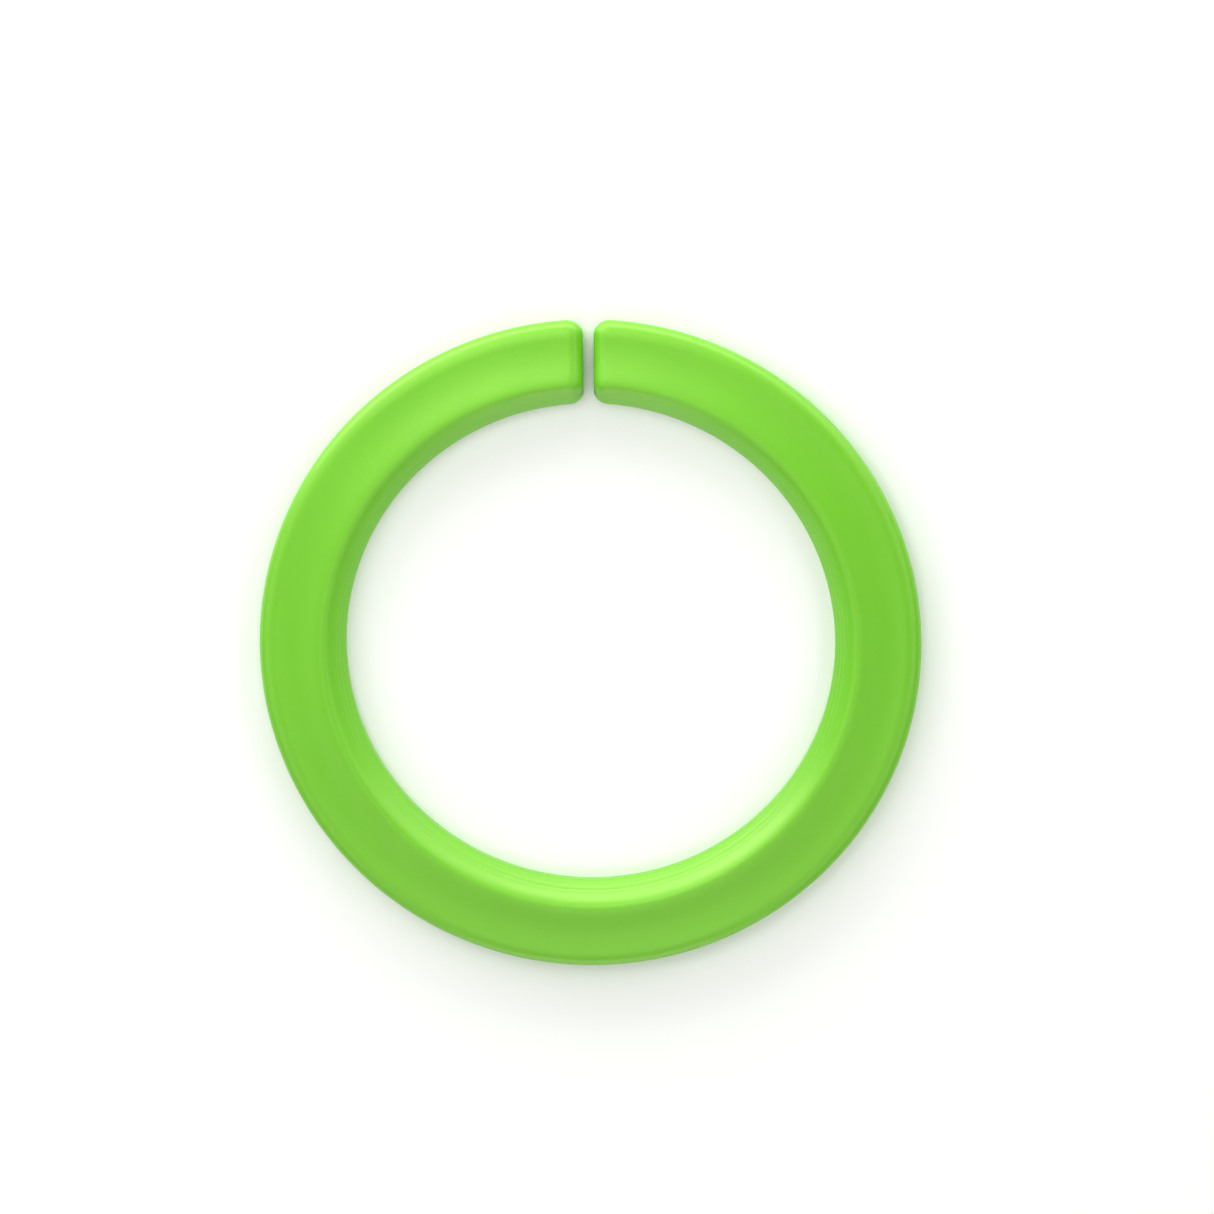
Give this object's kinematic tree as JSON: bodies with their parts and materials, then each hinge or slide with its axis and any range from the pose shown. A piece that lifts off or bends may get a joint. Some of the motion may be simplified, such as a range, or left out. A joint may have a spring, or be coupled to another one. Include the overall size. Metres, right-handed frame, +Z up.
{
  "type": "flying ring",
  "caption": "Flat, open-centred throwing ring with a wing-like soft skin over a springy core, split at one point so that its arms can be spread.",
  "frame": {"origin": "centre of the ring, on the plane of its resting face", "axes": "+Z up through the hole, square to the resting face; the split faces +Y and the back of the ring is at -Y; X runs across the split"},
  "size_m": [0.16, 0.1598, 0.0096],
  "materials": {
    "skin": "satin soft-touch, lime green",
    "core": "natural, unpigmented"
  },
  "bodies": {
    "back": {"skin_back": "skin", "core_back": "core"},
    "left_arm": {"skin_left": "skin", "core_left": "core"},
    "right_arm": {"skin_right": "skin", "core_right": "core"}
  },
  "joints": [
    {"name": "left_spread", "type": "hinge", "parent": "back", "child": "left_arm", "pos_m": [-0.06431, -0.04759, 0.0044], "axis": [0, 0, 1], "range_deg": [-0.57, 8], "stiffness_Nm_per_rad": 3.2},
    {"name": "right_spread", "type": "hinge", "parent": "back", "child": "right_arm", "pos_m": [0.06431, -0.04759, 0.0044], "axis": [0, 0, -1], "range_deg": [-0.57, 8], "stiffness_Nm_per_rad": 3.2}
  ]
}
